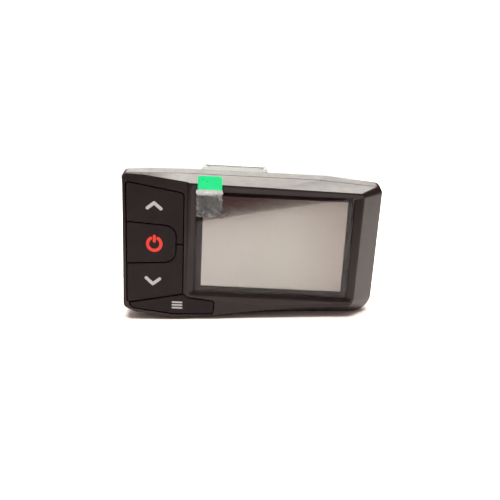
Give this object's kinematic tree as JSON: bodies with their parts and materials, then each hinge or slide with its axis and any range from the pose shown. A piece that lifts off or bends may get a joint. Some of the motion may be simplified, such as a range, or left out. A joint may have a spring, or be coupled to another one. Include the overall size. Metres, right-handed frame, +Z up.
{
  "type": "radar detector",
  "caption": "Windshield radar detector with a landscape colour display, a column of fitted keys, a slanted base and a tilting adhesive bracket on its roof.",
  "frame": {"origin": "middle of the box round the whole object, at the level of the flat underside", "axes": "+X to the driver's right, +Y away from the driver towards the windshield, +Z up; the display is rolled 3.07 degrees clockwise against the level underside"},
  "size_m": [0.097, 0.0398, 0.0554],
  "materials": {
    "housing": "satin black moulded plastic with a fine grain",
    "key_plastic": "matt soft-touch black",
    "legend_white": "pale grey inlaid mark",
    "legend_red": "red inlaid mark",
    "cover_glass": "polished cover glass",
    "black_tape": "black foam tape",
    "display_cell": "grey display cell, switched off",
    "diffuser": "white light guide",
    "steel_sheet": "stamped sheet steel",
    "flex_film": "amber polyimide film",
    "clear_film": "clear protective film",
    "green_film": "green pull tab on clear tape",
    "carrier_plastic": "plain black plastic",
    "switch_plastic": "black switch case",
    "circuit_board": "green solder mask",
    "chip_epoxy": "black epoxy packages",
    "zinc_cast": "die-cast metal",
    "window_plastic": "smooth black window",
    "laser_red": "dark red filter lens",
    "ceramic": "antenna ceramic",
    "speaker_paper": "black paper cone",
    "magnet_steel": "plated magnet cup",
    "cap_sleeve": "dark shrink sleeve",
    "socket_plastic": "black socket",
    "screw_steel": "black-plated steel",
    "pin_steel": "steel pin",
    "bracket_plastic": "pale grey bracket plastic",
    "shoe_plastic": "black acetal",
    "pad_foam": "pale adhesive foam",
    "liner_paper": "white release liner"
  },
  "bodies": {
    "housing_body": {"front_housing": "housing", "rear_housing": "housing", "display_lens": "cover_glass", "lens_tape": "black_tape", "lcd_panel": "display_cell", "lcd_backlight": "diffuser", "lcd_frame": "steel_sheet", "lcd_flex": "flex_film", "screen_film": "clear_film", "film_pull_tab": "green_film", "key_carrier": "carrier_plastic", "tact_switches": "switch_plastic", "main_board": "circuit_board", "board_chips": "chip_epoxy", "board_screws": "screw_steel", "rf_shield": "steel_sheet", "rf_board": "circuit_board", "horn_antenna": "zinc_cast", "radar_window": "window_plastic", "laser_lens": "laser_red", "laser_sensor": "switch_plastic", "gps_antenna": "ceramic", "speaker_frame": "carrier_plastic", "speaker_cone": "speaker_paper", "speaker_magnet": "magnet_steel", "supercap": "cap_sleeve", "power_jack": "socket_plastic", "usb_port": "steel_sheet", "housing_screws": "screw_steel"},
    "up_button": {"up_key": "key_plastic", "up_legend": "legend_white", "up_plunger": "switch_plastic"},
    "power_button": {"power_key": "key_plastic", "power_legend": "legend_red", "power_plunger": "switch_plastic"},
    "down_button": {"down_key": "key_plastic", "down_legend": "legend_white", "down_plunger": "switch_plastic"},
    "menu_button": {"menu_key": "key_plastic", "menu_legend": "legend_white", "menu_plunger": "switch_plastic"},
    "bracket_foot": {"mount_shoe": "shoe_plastic", "mount_pin": "pin_steel"},
    "bracket_plate": {"mount_plate": "bracket_plastic", "adhesive_pad": "pad_foam", "pad_liner": "liner_paper"}
  },
  "joints": [
    {"name": "up_press", "type": "slide", "parent": "housing_body", "child": "up_button", "axis": [0, 1, 0], "range_m": [0, 0.0005], "stiffness_N_per_m": 1500, "springref_m": -0.0002},
    {"name": "power_press", "type": "slide", "parent": "housing_body", "child": "power_button", "axis": [0, 1, 0], "range_m": [0, 0.0005], "stiffness_N_per_m": 1500, "springref_m": -0.0002},
    {"name": "down_press", "type": "slide", "parent": "housing_body", "child": "down_button", "axis": [0, 1, 0], "range_m": [0, 0.0005], "stiffness_N_per_m": 1500, "springref_m": -0.0002},
    {"name": "menu_press", "type": "slide", "parent": "housing_body", "child": "menu_button", "axis": [0, 1, 0], "range_m": [0, 0.0005], "stiffness_N_per_m": 1500, "springref_m": -0.0002},
    {"name": "bracket_slide", "type": "slide", "parent": "housing_body", "child": "bracket_foot", "axis": [0, 1, 0], "range_m": [0, 0.012]},
    {"name": "bracket_tilt", "type": "hinge", "parent": "bracket_foot", "child": "bracket_plate", "pos_m": [-0.00602, 0.00887, 0.0499], "axis": [-0.9986, 0, 0.0536], "range_deg": [0, 45]}
  ]
}
